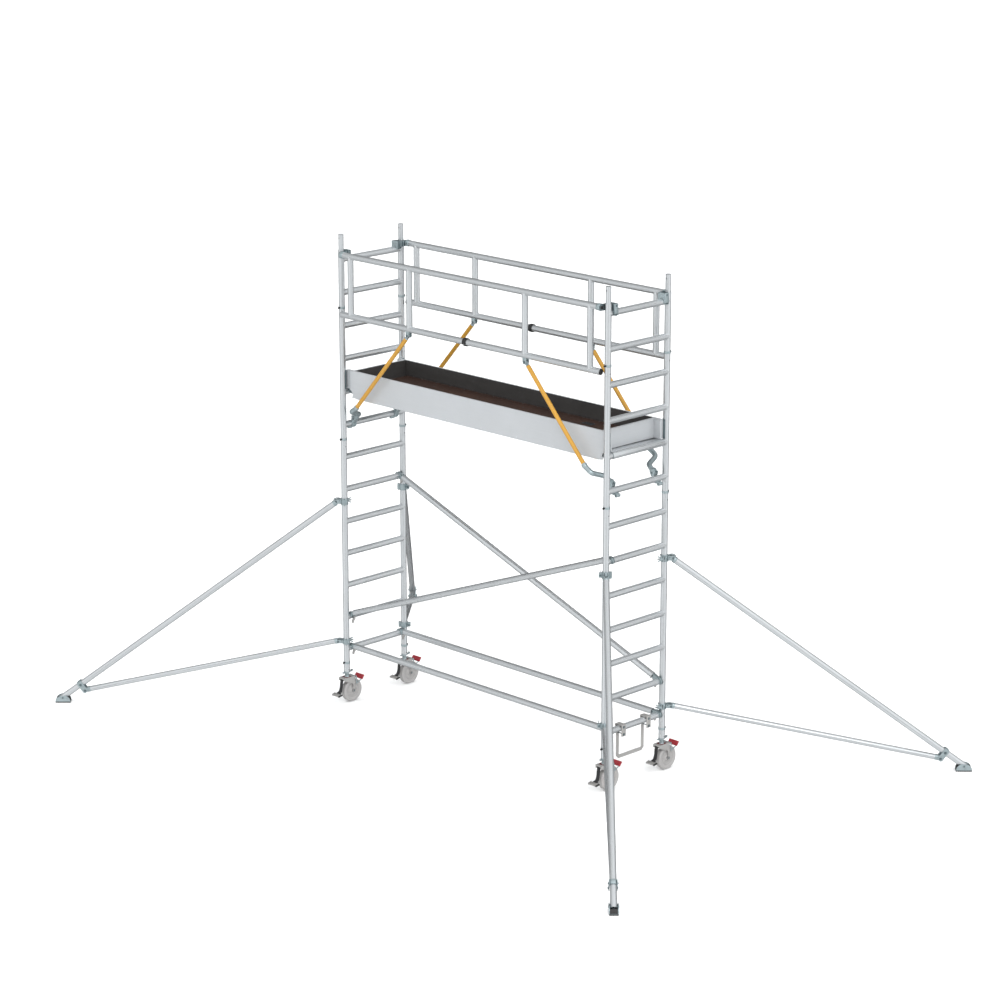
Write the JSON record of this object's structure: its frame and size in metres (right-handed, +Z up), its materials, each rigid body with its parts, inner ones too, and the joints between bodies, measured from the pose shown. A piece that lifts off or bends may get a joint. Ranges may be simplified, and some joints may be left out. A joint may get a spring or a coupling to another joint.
{
  "type": "mobile tower scaffold",
  "caption": "Rolling aluminium access tower: ladder frames, braces, one decked platform with toe boards and trapdoor, hook-on guardrails, braked castors and swing-out outriggers.",
  "frame": {"origin": "on the floor at the centre of the four standards", "axes": "+X along the platform, +Y towards the rear guardrail, +Z up"},
  "size_m": [6.578, 4.238, 4.049],
  "materials": {
    "aluminium": "satin mill finish",
    "galvanised": "zinc plated",
    "strut": "yellow powder coat",
    "ply": "dark brown film-faced",
    "toe_board": "satin outside, dark inside",
    "clip": "black",
    "wheel": "warm grey nylon",
    "castor_fork": "plated pressed steel",
    "pedal": "dark red"
  },
  "bodies": {
    "tower": {"frame_lower_left": "aluminium", "frame_lower_right": "aluminium", "frame_middle_left": "aluminium", "frame_middle_right": "aluminium", "frame_top_left": "aluminium", "frame_top_right": "aluminium", "base_brace_front": "aluminium", "diagonal_brace_front": "aluminium", "guardrail_front": "aluminium", "rail_clip_front": "clip", "base_brace_rear": "aluminium", "diagonal_brace_rear": "aluminium", "guardrail_rear": "aluminium", "rail_clip_rear": "clip", "platform_frame": "aluminium", "platform_deck": "ply", "toe_board_front": "toe_board", "toe_board_rear": "toe_board", "toe_board_left": "toe_board", "toe_board_right": "toe_board", "castor_stem_front_left": "galvanised", "castor_stem_rear_left": "galvanised", "castor_stem_front_right": "galvanised", "castor_stem_rear_right": "galvanised"},
    "trapdoor": {"trapdoor": "ply"},
    "step_stirrup": {"step_stirrup": "galvanised"},
    "castor_swivel_front_left": {"castor_fork_front_left": "castor_fork"},
    "castor_wheel_front_left": {"castor_wheel_front_left": "wheel"},
    "castor_pedal_front_left": {"castor_pedal_front_left": "pedal"},
    "castor_swivel_rear_left": {"castor_fork_rear_left": "castor_fork"},
    "castor_wheel_rear_left": {"castor_wheel_rear_left": "wheel"},
    "castor_pedal_rear_left": {"castor_pedal_rear_left": "pedal"},
    "castor_swivel_front_right": {"castor_fork_front_right": "castor_fork"},
    "castor_wheel_front_right": {"castor_wheel_front_right": "wheel"},
    "castor_pedal_front_right": {"castor_pedal_front_right": "pedal"},
    "castor_swivel_rear_right": {"castor_fork_rear_right": "castor_fork"},
    "castor_wheel_rear_right": {"castor_wheel_rear_right": "wheel"},
    "castor_pedal_rear_right": {"castor_pedal_rear_right": "pedal"},
    "strut_front_left": {"strut_front_left": "strut"},
    "strut_front_right": {"strut_front_right": "strut"},
    "strut_rear_left": {"strut_rear_left": "strut"},
    "strut_rear_right": {"strut_rear_right": "strut"},
    "outrigger_front_left": {"outrigger_leg_front_left": "aluminium", "outrigger_stay_front_left": "aluminium", "outrigger_bracket_front_left": "galvanised"},
    "outrigger_foot_front_left": {"outrigger_foot_front_left": "galvanised"},
    "outrigger_rear_left": {"outrigger_leg_rear_left": "aluminium", "outrigger_stay_rear_left": "aluminium", "outrigger_bracket_rear_left": "galvanised"},
    "outrigger_foot_rear_left": {"outrigger_foot_rear_left": "galvanised"},
    "outrigger_front_right": {"outrigger_leg_front_right": "aluminium", "outrigger_stay_front_right": "aluminium", "outrigger_bracket_front_right": "galvanised"},
    "outrigger_foot_front_right": {"outrigger_foot_front_right": "galvanised"},
    "outrigger_rear_right": {"outrigger_leg_rear_right": "aluminium", "outrigger_stay_rear_right": "aluminium", "outrigger_bracket_rear_right": "galvanised"},
    "outrigger_foot_rear_right": {"outrigger_foot_rear_right": "galvanised"}
  },
  "joints": [
    {"name": "trapdoor_hinge", "type": "hinge", "parent": "tower", "child": "trapdoor", "pos_m": [0.975, 0.161, 2.777], "axis": [-1, 0, 0], "range_deg": [0, 105]},
    {"name": "step_stirrup_swing", "type": "hinge", "parent": "tower", "child": "step_stirrup", "pos_m": [1.505, 0, 0.48], "axis": [0, 1, 0], "range_deg": [-20, 30]},
    {"name": "castor_swivel_front_left", "type": "hinge", "parent": "tower", "child": "castor_swivel_front_left", "pos_m": [-1.505, -0.335, 0.25], "axis": [0, 0, 1], "continuous": true},
    {"name": "castor_wheel_spin_front_left", "type": "hinge", "parent": "castor_swivel_front_left", "child": "castor_wheel_front_left", "pos_m": [-1.505, -0.285, 0.1], "axis": [1, 0, 0], "continuous": true},
    {"name": "castor_pedal_front_left", "type": "hinge", "parent": "castor_swivel_front_left", "child": "castor_pedal_front_left", "pos_m": [-1.505, -0.265, 0.2215], "axis": [-1, 0, 0], "range_deg": [-8, 8]},
    {"name": "castor_swivel_rear_left", "type": "hinge", "parent": "tower", "child": "castor_swivel_rear_left", "pos_m": [-1.505, 0.335, 0.25], "axis": [0, 0, 1], "continuous": true},
    {"name": "castor_wheel_spin_rear_left", "type": "hinge", "parent": "castor_swivel_rear_left", "child": "castor_wheel_rear_left", "pos_m": [-1.505, 0.385, 0.1], "axis": [1, 0, 0], "continuous": true},
    {"name": "castor_pedal_rear_left", "type": "hinge", "parent": "castor_swivel_rear_left", "child": "castor_pedal_rear_left", "pos_m": [-1.505, 0.405, 0.2215], "axis": [-1, 0, 0], "range_deg": [-8, 8]},
    {"name": "castor_swivel_front_right", "type": "hinge", "parent": "tower", "child": "castor_swivel_front_right", "pos_m": [1.505, -0.335, 0.25], "axis": [0, 0, 1], "continuous": true},
    {"name": "castor_wheel_spin_front_right", "type": "hinge", "parent": "castor_swivel_front_right", "child": "castor_wheel_front_right", "pos_m": [1.505, -0.285, 0.1], "axis": [1, 0, 0], "continuous": true},
    {"name": "castor_pedal_front_right", "type": "hinge", "parent": "castor_swivel_front_right", "child": "castor_pedal_front_right", "pos_m": [1.505, -0.265, 0.2215], "axis": [-1, 0, 0], "range_deg": [-8, 8]},
    {"name": "castor_swivel_rear_right", "type": "hinge", "parent": "tower", "child": "castor_swivel_rear_right", "pos_m": [1.505, 0.335, 0.25], "axis": [0, 0, 1], "continuous": true},
    {"name": "castor_wheel_spin_rear_right", "type": "hinge", "parent": "castor_swivel_rear_right", "child": "castor_wheel_rear_right", "pos_m": [1.505, 0.385, 0.1], "axis": [1, 0, 0], "continuous": true},
    {"name": "castor_pedal_rear_right", "type": "hinge", "parent": "castor_swivel_rear_right", "child": "castor_pedal_rear_right", "pos_m": [1.505, 0.405, 0.2215], "axis": [-1, 0, 0], "range_deg": [-8, 8]},
    {"name": "strut_front_left_pivot", "type": "hinge", "parent": "tower", "child": "strut_front_left", "pos_m": [-0.665, -0.371, 3.334], "axis": [0, -1, 0], "range_deg": [0, 4]},
    {"name": "strut_front_right_pivot", "type": "hinge", "parent": "tower", "child": "strut_front_right", "pos_m": [0.665, -0.371, 3.334], "axis": [0, 1, 0], "range_deg": [0, 4]},
    {"name": "strut_rear_left_pivot", "type": "hinge", "parent": "tower", "child": "strut_rear_left", "pos_m": [-0.665, 0.371, 3.334], "axis": [0, -1, 0], "range_deg": [0, 4]},
    {"name": "strut_rear_right_pivot", "type": "hinge", "parent": "tower", "child": "strut_rear_right", "pos_m": [0.665, 0.371, 3.334], "axis": [0, 1, 0], "range_deg": [0, 4]},
    {"name": "outrigger_swing_front_left", "type": "hinge", "parent": "tower", "child": "outrigger_front_left", "pos_m": [-1.505, -0.335, 1.777], "axis": [0, 0, 1], "range_deg": [-35, 35]},
    {"name": "outrigger_foot_tilt_front_left", "type": "hinge", "parent": "outrigger_front_left", "child": "outrigger_foot_front_left", "pos_m": [-3.21973, -2.04973, 0.04347], "axis": [0.7071, -0.7071, 0], "range_deg": [-15, 15]},
    {"name": "outrigger_swing_rear_left", "type": "hinge", "parent": "tower", "child": "outrigger_rear_left", "pos_m": [-1.505, 0.335, 1.777], "axis": [0, 0, 1], "range_deg": [-35, 35]},
    {"name": "outrigger_foot_tilt_rear_left", "type": "hinge", "parent": "outrigger_rear_left", "child": "outrigger_foot_rear_left", "pos_m": [-3.21973, 2.04973, 0.04347], "axis": [-0.7071, -0.7071, 0], "range_deg": [-15, 15]},
    {"name": "outrigger_swing_front_right", "type": "hinge", "parent": "tower", "child": "outrigger_front_right", "pos_m": [1.505, -0.335, 1.777], "axis": [0, 0, 1], "range_deg": [-35, 35]},
    {"name": "outrigger_foot_tilt_front_right", "type": "hinge", "parent": "outrigger_front_right", "child": "outrigger_foot_front_right", "pos_m": [3.21973, -2.04973, 0.04347], "axis": [0.7071, 0.7071, 0], "range_deg": [-15, 15]},
    {"name": "outrigger_swing_rear_right", "type": "hinge", "parent": "tower", "child": "outrigger_rear_right", "pos_m": [1.505, 0.335, 1.777], "axis": [0, 0, 1], "range_deg": [-35, 35]},
    {"name": "outrigger_foot_tilt_rear_right", "type": "hinge", "parent": "outrigger_rear_right", "child": "outrigger_foot_rear_right", "pos_m": [3.21973, 2.04973, 0.04347], "axis": [-0.7071, 0.7071, 0], "range_deg": [-15, 15]}
  ]
}
